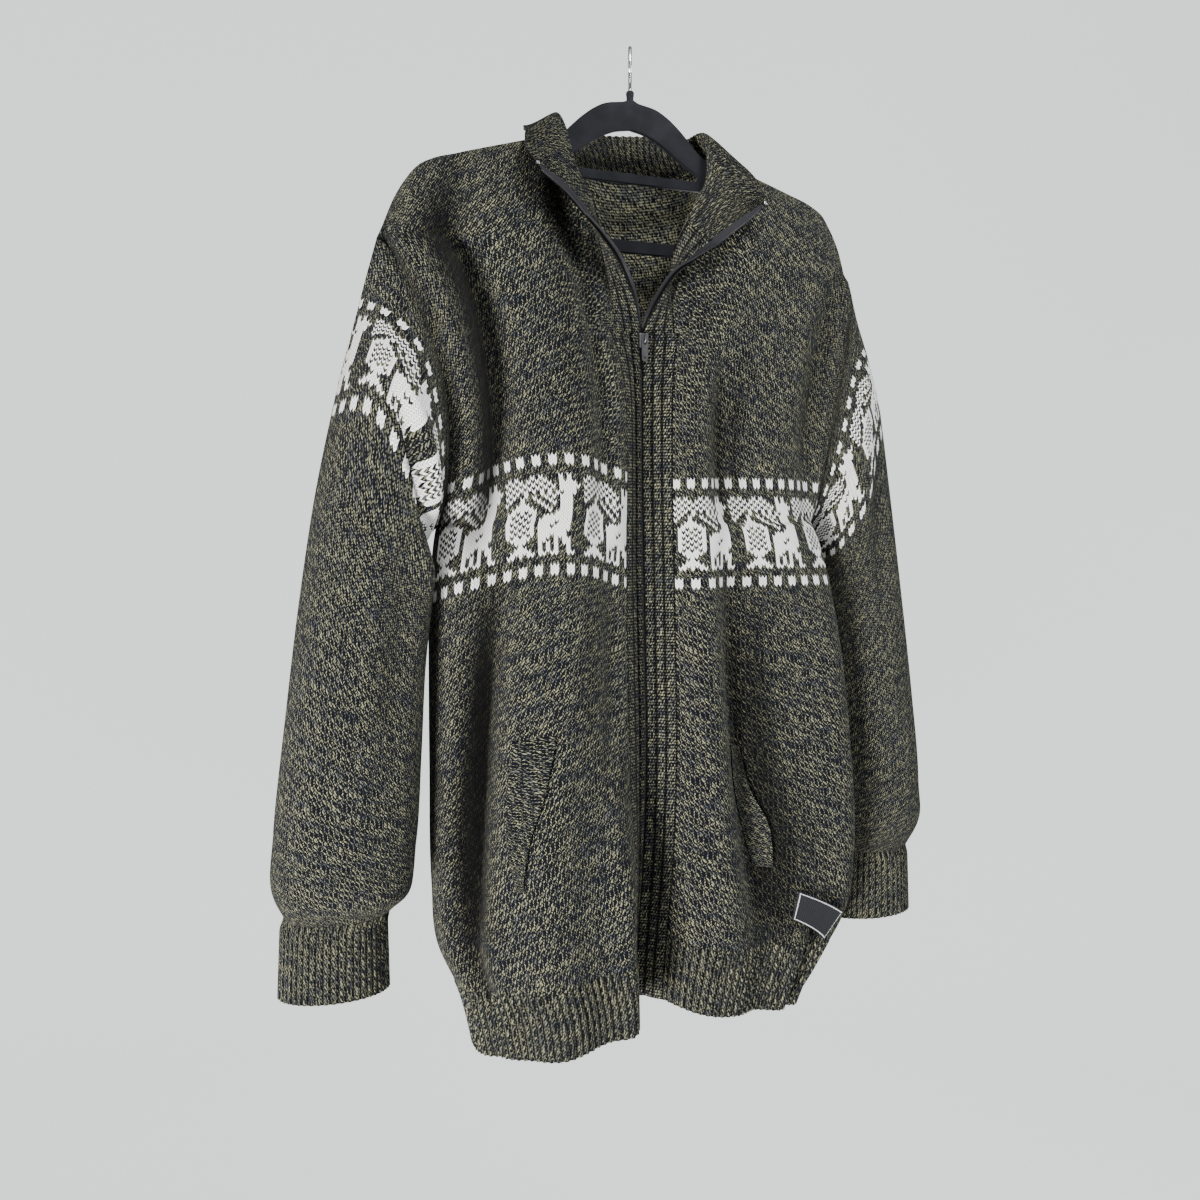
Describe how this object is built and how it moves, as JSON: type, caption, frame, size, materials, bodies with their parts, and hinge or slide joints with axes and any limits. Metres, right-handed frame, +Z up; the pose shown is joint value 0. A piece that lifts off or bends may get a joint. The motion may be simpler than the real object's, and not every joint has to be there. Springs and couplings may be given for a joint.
{
  "type": "zip cardigan",
  "caption": "Knitted cardigan with a zip front, rib collar folded open, patterned chest band and rib cuffs and hem, hanging on a slim velvet hanger.",
  "frame": {"origin": "inside top of the hanger's hook, where it rests on a rod", "axes": "+Z up, -Y out of the cardigan's front, +X toward the wearer's left sleeve"},
  "size_m": [0.6207, 0.1479, 0.8648],
  "materials": {
    "olive_knit": "marled stockinette with a white patterned band",
    "olive_rib": "marled rib knit",
    "black_velvet": "flocked velvet",
    "chrome_wire": "polished wire",
    "grey_zip_tape": "woven tape with moulded coil",
    "gunmetal": "dark satin metal",
    "grey_woven": "woven patch, blank",
    "silver_stop": "bright metal"
  },
  "bodies": {
    "cardigan": {"sleeve_right": "olive_knit", "sleeve_left": "olive_knit", "cuff_right": "olive_rib", "cuff_left": "olive_rib", "front_right": "olive_knit", "front_left": "olive_knit", "back": "olive_knit", "hem_rib_right": "olive_rib", "hem_rib_left": "olive_rib", "hem_rib_back": "olive_rib", "zip_band_right": "olive_rib", "zip_band_left": "olive_rib", "collar": "olive_rib", "pocket_welt_right": "olive_rib", "pocket_welt_left": "olive_rib", "hem_label": "grey_woven", "zip_tape_right": "grey_zip_tape", "zip_tape_left": "grey_zip_tape", "zip_top_stop_right": "silver_stop", "zip_top_stop_left": "silver_stop", "zip_slider": "gunmetal", "zip_box": "gunmetal", "hanger_frame": "black_velvet", "hanger_ferrule": "black_velvet", "hanger_hook": "chrome_wire"},
    "pull_tab": {"zip_pull_tab": "gunmetal"}
  },
  "joints": [
    {"name": "pull_tab_hinge", "type": "hinge", "parent": "cardigan", "child": "pull_tab", "pos_m": [0, -0.03, -0.2597], "axis": [-1, 0, 0], "range_deg": [0, 120]}
  ]
}
